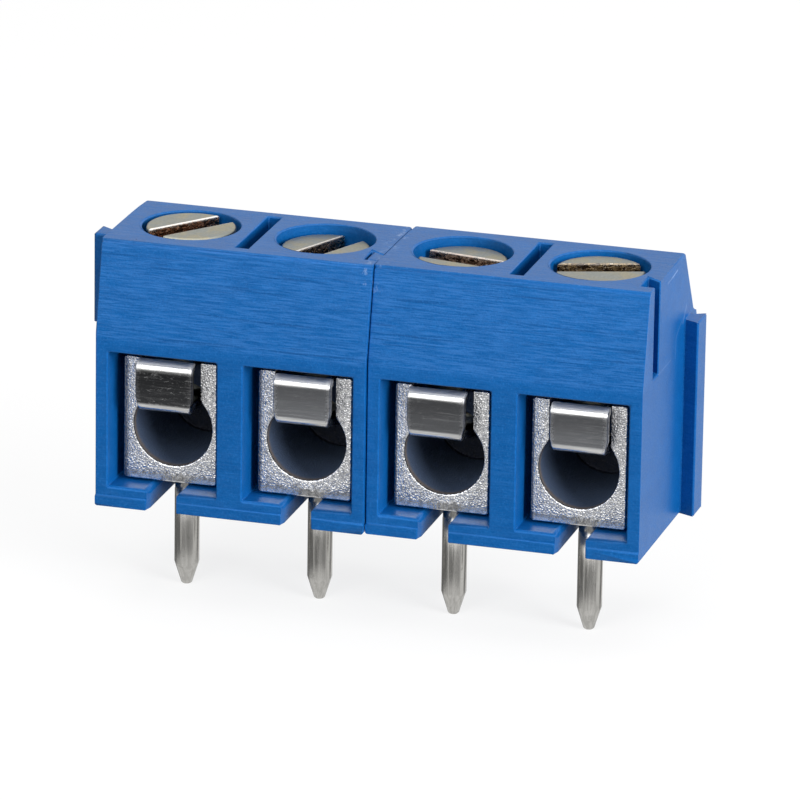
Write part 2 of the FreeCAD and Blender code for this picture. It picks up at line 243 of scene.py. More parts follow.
# ------------------------------------------------------------------ material helpers
class Tree:
    """A short way to write a node tree."""

    def __init__(self, name, kept=None):
        self.mat = bpy.data.materials.new(name)
        self.mat.use_nodes = True
        self.t = self.mat.node_tree
        self.t.nodes.clear()
        self.out = self.t.nodes.new("ShaderNodeOutputMaterial")
        self.bsdf = self.t.nodes.new("ShaderNodeBsdfPrincipled")
        self.t.links.new(self.bsdf.outputs[0], self.out.inputs[0])
        if kept:                                               # the texture follows the places at rest kept in this attribute
            at = self.t.nodes.new("ShaderNodeAttribute")
            at.attribute_name = kept
            self.p = self.scale(at.outputs["Vector"], 1000.0)
        else:
            tc = self.t.nodes.new("ShaderNodeTexCoord")
            self.p = self.scale(tc.outputs["Object"], 1000.0)  # millimetres in the row frame
        sep = self.t.nodes.new("ShaderNodeSeparateXYZ")
        self.t.links.new(self.p, sep.inputs[0])
        self.x, self.y, self.z = sep.outputs

    def set(self, socket, value):
        if hasattr(value, "links") or isinstance(value, bpy.types.NodeSocket):
            self.t.links.new(value, socket)
        else:
            socket.default_value = value

    def node(self, kind, props=None, **inputs):
        n = self.t.nodes.new(kind)
        for k, v in (props or {}).items():
            setattr(n, k, v)
        for k, v in inputs.items():
            self.set(n.inputs[int(k[1:]) if k[0] == "i" and k[1:].isdigit() else k], v)
        return n

    def scale(self, v, s):
        n = self.t.nodes.new("ShaderNodeVectorMath")
        n.operation = "SCALE"
        self.set(n.inputs[0], v)
        n.inputs["Scale"].default_value = s
        return n.outputs[0]

    def stretch(self, sx, sy, sz, offset=(0, 0, 0), source=None, rot=(0, 0, 0)):
        n = self.t.nodes.new("ShaderNodeMapping")
        self.set(n.inputs["Vector"], self.p if source is None else source)
        n.inputs["Scale"].default_value = (sx, sy, sz)
        n.inputs["Location"].default_value = offset
        n.inputs["Rotation"].default_value = rot
        return n.outputs[0]

    def noise(self, vec, scale=1.0, detail=2.0, rough=0.5, distortion=0.0):
        n = self.node("ShaderNodeTexNoise", Vector=vec, Scale=scale, Detail=detail, Roughness=rough, Distortion=distortion)
        return n.outputs[0]

    def voronoi(self, vec, scale=1.0, feature="F1", out="Distance", randomness=1.0):
        n = self.node("ShaderNodeTexVoronoi", {"feature": feature}, Vector=vec, Scale=scale, Randomness=randomness)
        return n.outputs[out]

    def math(self, op, a, b=0.0, c=None, clamp=False):
        n = self.t.nodes.new("ShaderNodeMath")
        n.operation = op
        n.use_clamp = clamp
        self.set(n.inputs[0], a)
        self.set(n.inputs[1], b)
        if c is not None:
            self.set(n.inputs[2], c)
        return n.outputs[0]

    def ramp(self, v, lo, hi, to_lo=0.0, to_hi=1.0, smooth=True):
        n = self.t.nodes.new("ShaderNodeMapRange")
        n.interpolation_type = "SMOOTHSTEP" if smooth else "LINEAR"
        n.clamp = True
        self.set(n.inputs[0], v)
        for i, q in zip((1, 2, 3, 4), (lo, hi, to_lo, to_hi)):
            n.inputs[i].default_value = q
        return n.outputs[0]

    def stroke(self, y0, z0, y1, z1, w):
        """1 on a line in the (y, z) plane, 0 beyond its half width w, its ends ragged."""
        dy, dz = y1 - y0, z1 - z0
        ll = dy * dy + dz * dz
        py = self.math("SUBTRACT", self.y, y0)
        pz = self.math("SUBTRACT", self.z, z0)
        k = self.math("ADD", self.math("MULTIPLY", py, dy / ll), self.math("MULTIPLY", pz, dz / ll), clamp=True)
        ey = self.math("SUBTRACT", py, self.math("MULTIPLY", k, dy))
        ez = self.math("SUBTRACT", pz, self.math("MULTIPLY", k, dz))
        d = self.math("SQRT", self.math("ADD", self.math("MULTIPLY", ey, ey), self.math("MULTIPLY", ez, ez)))
        wob = self.noise(self.p, 9.0, 2.0, 0.6)
        return self.ramp(self.math("ADD", d, self.math("MULTIPLY", wob, w * 0.9)), w * 0.35, w * 1.35, 1.0, 0.0)

    def mix(self, f, a, b, mode="MIX"):
        n = self.t.nodes.new("ShaderNodeMix")
        n.data_type = "RGBA"
        n.blend_type = mode
        n.clamp_factor = True
        self.set(n.inputs[0], f)
        for s, q in ((6, a), (7, b)):
            self.set(n.inputs[s], q if not isinstance(q, tuple) else tuple(q) + (1.0,) * (4 - len(q)))
        return n.outputs[2]

    def bump(self, height, strength, distance_mm, normal=None):
        n = self.t.nodes.new("ShaderNodeBump")
        self.set(n.inputs["Strength"], strength)
        n.inputs["Distance"].default_value = distance_mm * MM
        self.set(n.inputs["Height"], height)
        if normal is not None:
            self.set(n.inputs["Normal"], normal)
        return n.outputs[0]

    def finish(self, colour, roughness, metallic=0.0, normal=None, **more):
        b = self.bsdf.inputs
        self.set(b["Base Color"], colour if not isinstance(colour, tuple) else colour + (1.0,))
        self.set(b["Roughness"], roughness)
        self.set(b["Metallic"], metallic)
        if normal is not None:
            self.set(b["Normal"], normal)
        for k, v in more.items():
            self.set(b[k.replace("_", " ")], v)
        return self.mat


def housing_material():
    t = Tree("blue_housing")
    # fine short marks along the row, mottling, and a moulded grain
    marks = t.noise(t.stretch(1.1, 7.0, 19.0), 1.0, 5.0, 0.62, 0.35)
    long_marks = t.noise(t.stretch(0.28, 6.0, 9.0, (4.0, 1.0, 2.0)), 1.0, 3.0, 0.6, 0.2)
    mottle = t.noise(t.stretch(1.0, 1.3, 1.7), 1.0, 4.0, 0.6)
    grain = t.noise(t.p, 13.0, 3.0, 0.62)
    band = t.ramp(t.z, 6.15, 6.35)                                   # the leaning upper band is the more marked
    front = t.ramp(t.y, -2.2, -2.1, 1.0, 0.0)
    streaky = t.math("MULTIPLY", band, front)
    base = t.mix(t.ramp(mottle, 0.33, 0.70), (0.0, 0.078, 0.278), (0.001, 0.091, 0.315))
    m = t.math("MULTIPLY", t.ramp(marks, 0.38, 0.66), t.ramp(streaky, 0.0, 1.0, 0.22, 0.80))
    base = t.mix(m, base, (0.028, 0.142, 0.410))
    m = t.math("MULTIPLY", t.ramp(long_marks, 0.56, 0.70), t.ramp(streaky, 0.0, 1.0, 0.10, 0.65))
    base = t.mix(m, base, (0.0, 0.050, 0.190))
    top = t.ramp(t.z, 9.66, 9.70)
    speck = t.noise(t.p, 19.0, 3.0, 0.7)
    base = t.mix(t.math("MULTIPLY", t.ramp(grain, 0.52, 0.72), 0.42), base, (0.016, 0.150, 0.450))
    base = t.mix(t.math("MULTIPLY", t.ramp(grain, 0.48, 0.28), 0.35), base, (0.0, 0.055, 0.210))
    base = t.mix(t.math("MULTIPLY", t.ramp(speck, 0.56, 0.70), t.ramp(top, 0.0, 1.0, 0.12, 0.45)), base, (0.10, 0.24, 0.52))
    # rubbed arrises where the two housings meet
    seam = t.ramp(t.math("ABSOLUTE", t.math("SUBTRACT", t.x, -0.1)), 0.0, 0.70, 1.0, 0.0)
    scuff = t.ramp(t.noise(t.stretch(3.0, 3.0, 2.2, (3.1, 0.4, 0.9)), 1.0, 5.0, 0.72), 0.54, 0.66)
    high = t.ramp(t.z, 8.0, 9.5)
    worn = t.math("MULTIPLY", t.math("MULTIPLY", seam, scuff), t.math("MULTIPLY", high, 0.50))
    base = t.mix(worn, base, (0.30, 0.42, 0.66))
    # a few handling scratches on the right end
    end = t.ramp(t.x, 9.90, 9.96)
    for (y0, z0), (y1, z1), w, strength in SCRATCHES:
        base = t.mix(t.math("MULTIPLY", t.math("MULTIPLY", t.stroke(y0, z0, y1, z1, w), end), strength), base, (0.34, 0.46, 0.74))
    # roughness follows the marks and the grain
    rough = t.math("ADD", t.ramp(marks, 0.3, 0.7, 0.30, 0.42), t.ramp(grain, 0.4, 0.7, -0.03, 0.05))
    n = t.bump(marks, 0.70, 0.012)
    n = t.bump(grain, 0.60, 0.010, n)
    n = t.bump(speck, 0.35, 0.006, n)
    return t.finish(base, rough, 0.0, n, Specular_IOR_Level=0.5, Specular_Tint=(0.45, 0.70, 1.0, 1.0))


def plate_material(i):
    """Tinned sheet: bright coarse grain outside; oxide with painted shade within the bore and the fork, and a painted
    reflection down its left edge.
    """
    t = Tree("tinned_plate_%d" % i)
    x0, dy = POLES[i - 1], SHIFT[i - 1]
    shift = t.stretch(1, 1, 1, (3.7 * i, 1.9 * i, 0.6 * i))
    fine = t.noise(shift, 21.0, 3.0, 0.75)
    mid = t.noise(shift, 7.0, 4.0, 0.7)
    cells = t.voronoi(shift, 15.0)
    ribs = t.noise(t.stretch(15.0, 1.0, 0.5, (2.2 * i, 0, 0)), 1.0, 2.0, 0.5, 0.15)
    colour = t.mix(t.ramp(mid, 0.36, 0.58), (0.55, 0.56, 0.58), (0.96, 0.96, 0.96))
    colour = t.mix(t.math("MULTIPLY", t.ramp(fine, 0.58, 0.68), 0.80), colour, (0.12, 0.125, 0.14))
    depth = t.math("SUBTRACT", t.y, -2.05 + dy)
    near = t.math("ABSOLUTE", t.math("SUBTRACT", t.x, x0))
    # inside the bore and the fork: an oxide colour with painted shade, bluer and darker with depth, darkest at the back
    # wall
    inside = t.math("MULTIPLY", t.ramp(depth, 0.055, 0.11), t.ramp(near, 1.60, 1.64, 1.0, 0.0))
    lip = t.mix(t.ramp(t.math("ADD", depth, t.math("MULTIPLY", mid, 0.25)), 0.20, 0.55), (0.22, 0.18, 0.15), (0.110, 0.155, 0.250))
    far = t.mix(t.ramp(mid, 0.40, 0.70), (0.024, 0.031, 0.050), (0.034, 0.038, 0.048))
    bore_oxide_and_painted_shade = t.mix(t.ramp(depth, 3.95, 4.15), lip, far)
    # painted reflection: a dark bluish strip down the plate's left edge, where it would mirror the window's dark side
    # wall
    side = t.ramp(t.math("SUBTRACT", t.x, x0), -1.66, (-1.44, -1.52, -1.58, -1.58)[i - 1], 1.0, 0.0)
    colour = t.mix(t.math("MULTIPLY", side, 0.85), colour, (0.075, 0.090, 0.130))
    colour = t.mix(inside, colour, bore_oxide_and_painted_shade)
    rough = t.math("ADD", t.ramp(fine, 0.35, 0.65, 0.12, 0.28), t.math("MULTIPLY", inside, 0.20))
    calm = t.ramp(t.math("ADD", t.z, t.math("MULTIPLY", mid, 0.5)), 1.30, 1.48, 0.22, 1.0)     # the foot of the sheet is smoother
    n = t.bump(cells, t.math("MULTIPLY", calm, 0.85), 0.021)
    n = t.bump(fine, t.math("MULTIPLY", calm, 0.90), 0.014, n)
    if i in (1, 3, 4):
        n = t.bump(ribs, 0.35, 0.040, n)
    return t.finish(colour, rough, t.math("SUBTRACT", 1.0, t.math("MULTIPLY", inside, 0.70)), n, Specular_IOR_Level=0.25)


def guard_material(i):
    """Rolled strip: long smooth streaks across, its web's brightness set per pole as painted reflection, its rear in
    painted shade and its crest partly a painted highlight.
    """
    t = Tree("guard_strip_%d" % i, "rest_place")
    tone = (0.20, 0.92, 0.58, 0.85)[i - 1]                 # how bright each web is: painted reflection, a stand-in for each web's own tilt
    dy, low = SHIFT[i - 1], GUARD_LOW[i - 1]
    shift = t.stretch(1, 1, 1, (5.1 * i, 0, 0.7 * i))
    streaks = t.noise(t.stretch(0.6, 4.0, 15.0, (7.3 * i, 0, 0)), 1.0, 4.0, 0.62, 0.25)
    scratch = t.noise(t.stretch(4.0, 4.0, 9.0, (7.3 * i, 0, 3.0)), 1.0, 4.0, 0.75, 0.8)
    fine = t.noise(shift, 24.0, 2.0, 0.6)
    grains = t.noise(shift, 11.0, 3.0, 0.7)
    web = t.math("MULTIPLY", t.ramp(t.z, low + 0.26, low + 0.38), t.ramp(t.z, 5.38 - 0.40, 5.38 - 0.22, 1.0, 0.0))
    clean = t.mix(t.ramp(streaks, 0.35, 0.68), (0.66, 0.66, 0.655), (0.90, 0.90, 0.89))
    # painted reflection: the web's colour, scaled per pole by tone, darkens upwards towards the top bend; scratches and
    # streaks then lighten it
    dark = tuple(v * tone for v in (0.66, 0.68, 0.72))
    darker = tuple(v * tone * 0.62 for v in (0.66, 0.68, 0.72))
    web_painted_reflection_and_scratches = t.mix(t.ramp(t.z, low + 0.4, 4.95), dark + (1.0,), darker + (1.0,))
    web_painted_reflection_and_scratches = t.mix(t.math("MULTIPLY", t.ramp(scratch, 0.55, 0.68), (0.55, 0.35, 0.25, 0.30)[i - 1]), web_painted_reflection_and_scratches, (0.80, 0.80, 0.80))
    web_painted_reflection_and_scratches = t.mix(t.math("MULTIPLY", t.ramp(streaks, 0.55, 0.75), 0.35), web_painted_reflection_and_scratches, (0.75, 0.75, 0.75))
    colour = t.mix(web, clean, web_painted_reflection_and_scratches)
    xg = POLES[i - 1] + GUARD_DX[i - 1]
    edge = t.ramp(t.math("ABSOLUTE", t.math("SUBTRACT", t.x, xg)), 0.80, 1.02)
    colour = t.mix(t.math("MULTIPLY", edge, t.ramp(grains, 0.48, 0.62, 0.0, 0.7)), colour, (0.20, 0.20, 0.205))
    # painted shade: the foot and the rear of the flange, deeper than the front bend, go dark
    rear_painted_shade = t.ramp(t.y, -2.58 + dy + 0.62, -2.58 + dy + 0.95)
    colour = t.mix(rear_painted_shade, colour, (0.060, 0.070, 0.090))
    # worn, rougher crest, also made near-white as a painted highlight on the top bend
    crest = t.math("MULTIPLY", t.ramp(t.z, GUARD_TOP[i - 1] - 0.17, GUARD_TOP[i - 1] - 0.10), t.ramp(t.y, -2.58 + dy + 0.36, -2.58 + dy + 0.42, 1.0, 0.0))
    colour = t.mix(crest, colour, (0.97, 0.97, 0.96))
    rough = t.math("ADD", t.ramp(streaks, 0.3, 0.7, 0.13, 0.24), t.math("ADD", t.math("MULTIPLY", edge, 0.14), t.math("MULTIPLY", crest, 0.40)))
    n = t.bump(streaks, 0.30, 0.010)
    n = t.bump(fine, 0.25, 0.005, n)
    n = t.bump(grains, (0.30, 0.12, 0.12, 0.12)[i - 1], 0.012, n)
    return t.finish(colour, rough, 1.0, n)


def screw_material():
    t = Tree("passivated_screw")
    fine = t.noise(t.p, 15.0, 4.0, 0.7)
    blot = t.noise(t.p, 1.7, 3.0, 0.55)
    turned = t.noise(t.stretch(9.0, 9.0, 1.0), 1.0, 2.0, 0.5)
    colour = t.mix(t.ramp(blot, 0.38, 0.64), (0.33, 0.345, 0.315), (0.41, 0.375, 0.265))
    colour = t.mix(t.math("MULTIPLY", t.ramp(fine, 0.56, 0.72), 0.40), colour, (0.17, 0.155, 0.11))
    colour = t.mix(t.math("MULTIPLY", t.ramp(fine, 0.44, 0.30), 0.40), colour, (0.60, 0.58, 0.50))
    rough = t.ramp(fine, 0.35, 0.65, 0.30, 0.46)
    n = t.bump(fine, 0.35, 0.008)
    n = t.bump(turned, 0.15, 0.008, n)
    return t.finish(colour, rough, 1.0, n)


def slot_material(i, top):
    """The driver slot of screw i: a painted highlight along the rim, then torn coppery walls down to a floor darkened
    as painted shade.
    """
    t = Tree("screw_slot_%d" % i)
    tear = t.noise(t.stretch(4.0, 4.0, 8.0, (1.7 * i, 0, 0)), 1.0, 5.0, 0.75, 0.6)
    flake = t.noise(t.stretch(1, 1, 1, (3.1 * i, 0, 0)), 8.0, 4.0, 0.78)
    depth = t.math("ADD", t.math("MULTIPLY", t.z, -1.0), top)
    copper = ((0.62, 0.33, 0.19), (0.50, 0.38, 0.28), (0.52, 0.36, 0.26), (0.42, 0.31, 0.17))[i - 1]
    colour = t.mix(t.ramp(tear, 0.42, 0.58), (0.060, 0.036, 0.024), copper)
    # painted shade: the slot's colour darkens towards its floor
    colour = t.mix(t.ramp(depth, 0.50, 0.60), colour, (0.10, 0.065, 0.045))
    colour = t.mix(t.math("MULTIPLY", t.ramp(flake, 0.57, 0.65), (0.6, 0.8, 0.7, 0.7)[i - 1]), colour, (0.95, 0.86, 0.74))
    # painted highlight: a near-white band along the slot's rim, strongest on screw 1
    lip = t.ramp(t.math("ADD", depth, t.math("MULTIPLY", tear, 0.22)), 0.12, 0.24, (0.95, 0.75, 0.50, 0.15)[i - 1], 0.0)
    colour = t.mix(lip, colour, (1.0, 0.97, 0.92))
    rough = t.math("ADD", t.ramp(tear, 0.3, 0.7, 0.16, 0.34), t.math("MULTIPLY", lip, 0.10))
    n = t.bump(tear, 0.7, 0.035)
    n = t.bump(flake, 0.6, 0.018, n)
    return t.finish(colour, rough, 1.0, n)


def pin_material():
    t = Tree("drawn_pin")
    draw = t.noise(t.stretch(9.0, 9.0, 0.30), 1.0, 3.0, 0.6, 0.1)
    fine = t.noise(t.p, 17.0, 3.0, 0.7)
    speck = t.noise(t.p, 6.0, 4.0, 0.7)
    colour = t.mix(t.ramp(draw, 0.35, 0.65), (0.58, 0.57, 0.54), (0.74, 0.725, 0.69))
    colour = t.mix(t.math("MULTIPLY", t.ramp(speck, 0.55, 0.70), 0.35), colour, (0.34, 0.33, 0.31))
    rough = t.ramp(draw, 0.3, 0.7, 0.15, 0.25)
    n = t.bump(draw, 0.04, 0.008)
    n = t.bump(fine, 0.22, 0.006, n)
    return t.finish(colour, rough, 1.0, n)


# ------------------------------------------------------------------ pieces
def make_housing(node, body):
    obj = object_from(node + "_shell", cad_copy(node))
    lo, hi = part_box(node)
    ends = (lo.x + 0.49 * MM, hi.x - 0.56 * MM)            # the two end planes, inside tongue and rail

    def width(e):
        if all(v.co.y > 2.4 * MM and min(abs(v.co.x - q) for q in ends) < 0.02 * MM for v in e.verts):
            return 0.10
        return 0.07
    rounded(obj, 0.10, 3, widths=width, free=lambda e: width(e) > 0.09 and all(v.co.z > 7.0 * MM for v in e.verts))
    tidy(obj)
    return place(obj, body, node, [MATS["housing"]])


def make_plate(i):
    node = "clamp_body_%d" % i
    obj = object_from(node + "_cage", cad_copy(node))
    rounded(obj, 0.05, 3)
    tidy(obj)
    return place(obj, BODY_OF[i - 1], node, [plate_material(i)])


def make_pin(i):
    node = "solder_pin_%d" % i
    obj = object_from(node + "_wire", cad_copy(node))
    rounded(obj, 0.05, 3)
    tidy(obj)
    return place(obj, BODY_OF[i - 1], node, [MATS["pin"]])


def make_screw(i):
    """Slotted head, plain neck and a true helical thread, closed at both ends."""
    node = "clamp_screw_%d" % i
    lo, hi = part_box(node)
    top, tip = hi.z / MM, lo.z / MM
    cx, cy = POLES[i - 1], SCREW_Y + SHIFT[i - 1]
    under = top - HEAD_H
    steps = 72
    root = THREAD_R - THREAD_DEPTH
    c = HEAD_CHAMFER
    prof = [(0, top), (HEAD_R - c - 0.02, top)]
    for k in range(0, 5):
        a = math.radians(90 * k / 4)
        prof.append((HEAD_R - c + c * math.sin(a), top - c + c * math.cos(a)))
    prof += [(HEAD_R, under + 0.06), (HEAD_R - 0.015, under + 0.02), (HEAD_R - 0.05, under), (root + 0.10, under),
             (root + 0.03, under - 0.03), (root, under - 0.10), (root, under - 0.30), (0, under - 0.30)]
    obj = object_from(node + "_turned", lathe(node, prof, steps, cx, cy))
    off, half = SLOT_OFF[i - 1], HEAD_SLOT_W / 2
    turn = Matrix.Rotation(math.radians(SLOT_ANGLE[i - 1]), 4, "Z")
    side = [(half, top - HEAD_SLOT_D)]                     # the cutter's right side: a wall that rolls out to the top face
    for k in range(0, 5):
        a = math.radians(180 - 90 * k / 4)
        side.append((half + SLOT_LIP + SLOT_LIP * math.cos(a), top - SLOT_LIP + SLOT_LIP * math.sin(a)))
    side.append((half + SLOT_LIP, top + 1))
    outline = [(off + y, z) for y, z in side] + [(off - y, z) for y, z in reversed(side)]
    cut = bmesh.new()
    rings = [[cut.verts.new((x * MM, y * MM, z * MM)) for y, z in outline] for x in (-HEAD_R - 1, HEAD_R + 1)]
    cut.faces.new(rings[0])
    cut.faces.new(list(reversed(rings[1])))
    for k in range(len(outline)):
        j = (k + 1) % len(outline)
        cut.faces.new((rings[0][k], rings[1][k], rings[1][j], rings[0][j]))
    bmesh.ops.recalc_face_normals(cut, faces=cut.faces)
    cut.transform(Matrix.Translation((cx * MM, cy * MM, 0)) @ turn)
    boolean(obj, cut)
    bm = bmesh.new()
    bm.from_mesh(obj.data)
    bmesh.ops.remove_doubles(bm, verts=bm.verts, dist=1e-7)
    bmesh.ops.dissolve_limit(bm, angle_limit=math.radians(0.3), verts=bm.verts, edges=bm.edges)
    for f in bm.faces:
        m = f.calc_center_median()
        q = turn.inverted() @ Vector((m.x / MM - cx, m.y / MM - cy, 0))
        if abs(q.y - off) < half + SLOT_LIP and q.length < HEAD_R - 0.06 and under + 0.2 < m.z / MM < top - 0.0004:
            f.material_index = 1
    bm.to_mesh(obj.data)
    bm.free()
    obj.data.materials.append(MATS["screw"])
    slot_mat = slot_material(i, top)
    obj.data.materials.append(slot_mat)
    floor = (top - HEAD_SLOT_D + 0.01) * MM                # the slot's floor meets its walls square, as a saw leaves it
    rounded(obj, 0.04, 3, 30.0, widths=lambda e: 0.0 if abs(max(v.co.z for v in e.verts) - floor) < 0.03 * MM else 0.04)
    # the thread: a grid whose rows climb with the helix, its ends pressed flat
    cols, per = 48, 6
    z0, z1 = tip, under - 0.28
    shape = [0.0, 0.12, 0.94, 1.0, 0.94, 0.12]
    turns = int((z1 - z0) / THREAD_PITCH) + 3
    bm = bmesh.new()
    grid = []
    for k in range(cols):
        col = []
        for level in range(turns * per + 1):
            z = z0 - THREAD_PITCH * 1.2 + THREAD_PITCH * (level / per + k / cols)
            h = shape[level % per]
            rise = min(1.0, max(0.0, (z - z0 - 0.10) / 0.30)) * min(1.0, max(0.0, (z1 - 0.12 - z) / 0.25))
            r = root + (THREAD_DEPTH - 0.012) * h * rise
            tipped = max(0.0, 0.14 - (max(z, z0) - z0))
            r -= tipped
            zc = min(max(z, z0), z1)
            col.append(bm.verts.new(((cx + r * math.cos(2 * math.pi * k / cols)) * MM,
                                     (cy + r * math.sin(2 * math.pi * k / cols)) * MM, zc * MM)))
        grid.append(col)
    n = turns * per + 1
    for k in range(cols):
        last = k == cols - 1
        for level in range(n - 1):
            a, b = grid[k][level], grid[k][level + 1]
            if last:
                if level + per + 1 >= n:
                    continue
                d, e = grid[0][level + per], grid[0][level + per + 1]
            else:
                d, e = grid[k + 1][level], grid[k + 1][level + 1]
            bm.faces.new((a, d, e, b))
    # the wrap leaves a short run of levels unmatched at both ends; they sit in the flat ends and weld away
    bmesh.ops.remove_doubles(bm, verts=bm.verts, dist=1e-8)
    bmesh.ops.dissolve_degenerate(bm, dist=1e-9, edges=bm.edges)
    loose = [e for e in bm.edges if e.is_boundary]
    bmesh.ops.holes_fill(bm, edges=loose, sides=0)
    bmesh.ops.recalc_face_normals(bm, faces=bm.faces)
    thread = object_from("thread", bm)
    thread.data.materials.append(MATS["screw"])
    thread.data.materials.append(slot_mat)
    m = obj.modifiers.new("join", "BOOLEAN")
    m.operation = "UNION"
    m.solver = "EXACT"
    m.object = thread
    bpy.context.view_layer.update()
    bake_modifiers(obj)
    bpy.data.objects.remove(thread)
    tidy(obj, 33.0)
    return place(obj, "screw_%d" % i, node, None)


def make_guard(i):
    """The folded strip, rebuilt with round bends and eased edges, its places at rest kept in an attribute for its
    texture.
    """
    node = "wire_guard_%d" % i
    lo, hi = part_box(node)
    lo, hi = lo / MM, hi / MM
    t = 0.30
    x = POLES[i - 1]
    dy = SHIFT[i - 1]
    xg = x + GUARD_DX[i - 1]
    top, foot = hi.z, lo.z                      # top face, lowest face of the foot
    yf, y_end = lo.y, hi.y
    ro = rl = 0.36
    low = GUARD_LOW[i - 1]
    foot_top = foot + t
    y_foot = 1.55 + dy
    y_screw = SCREW_Y + dy
    y_a, y_b = yf + rl + 0.15, y_screw - 0.95
    # centre line of the strip from the flange's end to the foot's end, with the outward normal at each point
    path = []

    def line(y0, z0, y1, z1, n, skip=1):
        for k in range(skip, n + 1):
            path.append((y0 + (y1 - y0) * k / n, z0 + (z1 - z0) * k / n))

    h = t / 2
    zc = top - h
    y_bend, y_neck = yf + ro + 0.05, -1.12 + dy
    stops = list(np.linspace(y_end, y_neck + 0.006, 16)) + list(np.linspace(y_neck - 0.006, y_bend + 0.006, 8))
    stops += [y_bend - 0.006, yf + ro]
    path = [(float(y), zc) for y in stops]
    flat = len(path)
    r = ro - h
    for k in range(1, 13):
        a = math.radians(90 * k / 12)
        path.append((yf + ro - r * math.sin(a), top - ro + r * math.cos(a)))
    line(yf + h, top - ro, yf + h, low + rl, 14)
    for k in range(1, 13):
        a = math.radians(90 * k / 12)
        path.append((yf + rl - r * math.cos(a), low + rl - r * math.sin(a)))
    # the foot runs back level, slopes down a little and ends level under the screw
    ys = np.linspace(yf + rl, y_foot, 34)[1:]
    for y in ys:
        s = min(1.0, max(0.0, (y - y_a) / (y_b - y_a)))
        path.append((float(y), low + h + (foot + h - low - h) * s))
    pts = np.array(path)
    tang = np.gradient(pts, axis=0)
    tang /= np.linalg.norm(tang, axis=1)[:, None]
    # walking from the flange end forwards, down and back, the outside is on this side
    nrm = np.stack([-tang[:, 1], tang[:, 0]], 1)
    if nrm[0, 1] < 0:
        nrm = -nrm

    def half_width(k):
        y, z = pts[k]
        if k < flat:
            if y > y_neck:
                return 1.60, 1.60
            if y > y_bend:
                return xg + 0.92 - x, x - (xg - 0.92)
            return xg + 1.05 - x, x - (xg - 1.05)
        zb, zt = low + 0.10, low + 0.55
        s = 1.0 if z >= zt else 0.0 if z <= zb else (z - zb) / (zt - zb)
        w = 0.93 + (1.05 - 0.93) * s
        return xg + w - x, x - (xg - w)
    bm = bmesh.new()
    e = 0.045
    rows = []
    cross = 14
    for k in range(len(pts)):
        wr, wl = half_width(k)
        ring = []
        section = []
        for s, w in ((1, wr), (-1, wl)):
            pass
        # outline of the strip's cross section: (x offset, thickness offset), counter-clockwise
        right = [(wr - e + e * math.sin(a), -h + e - e * math.cos(a)) for a in np.radians([0, 30, 60, 90])]
        right += [(wr - e + e * math.cos(a), h - e + e * math.sin(a)) for a in np.radians([0, 30, 60, 90])]
        left = [(-(wl - e) - e * math.sin(a), h - e + e * math.cos(a)) for a in np.radians([0, 30, 60, 90])]
        left += [(-(wl - e) - e * math.cos(a), -h + e - e * math.sin(a)) for a in np.radians([0, 30, 60, 90])]
        across = [right[-1][0] + (left[0][0] - right[-1][0]) * q / cross for q in range(1, cross)]
        section = right + [(a, h) for a in across] + left + [(a, -h) for a in reversed(across)]
        for sx, sn in section:
            y, z = pts[k] + nrm[k] * sn
            ring.append(bm.verts.new(((x + sx) * MM, y * MM, z * MM)))
        rows.append(ring)
    for a, b in zip(rows, rows[1:]):
        for q in range(len(a)):
            p = (q + 1) % len(a)
            bm.faces.new((a[q], a[p], b[p], b[q]))
    bm.faces.new(list(reversed(rows[0])))
    bm.faces.new(rows[-1])
    bmesh.ops.recalc_face_normals(bm, faces=bm.faces)
    obj = object_from(node + "_strip", bm)
    hole = lathe("hole", [(0, top + 1), (1.33, top + 1), (1.33, top - t - 0.3), (0, top - t - 0.3)], 64, x, y_screw)
    boolean(obj, hole)
    obj.data.materials.clear()
    obj.data.materials.append(guard_material(i))
    tidy(obj, 33.0)
    kept = obj.data.attributes.new("rest_place", "FLOAT_VECTOR", "POINT")
    kept.data.foreach_set("vector", np.array([v.co[:] for v in obj.data.vertices], dtype=np.float32).ravel())
    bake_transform(obj)
    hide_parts(node)
    return obj


def place(obj, body, node, mats):
    if mats is not None:
        obj.data.materials.clear()
        for m in mats:
            obj.data.materials.append(m)
    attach(obj, body)
    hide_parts(node)
    return obj


MATS = {"housing": housing_material(), "screw": screw_material(),
        "pin": pin_material()}
make_housing("housing_left", "base")
make_housing("housing_right", "right_module")
for i in range(1, 5):
    make_plate(i)
    make_guard(i)
    make_screw(i)
    make_pin(i)

# ------------------------------------------------------------------ floor, light and camera
scene = bpy.context.scene
scene.view_settings.view_transform = "Standard"
scene.view_settings.look = "None"
scene.cycles.use_denoising = True


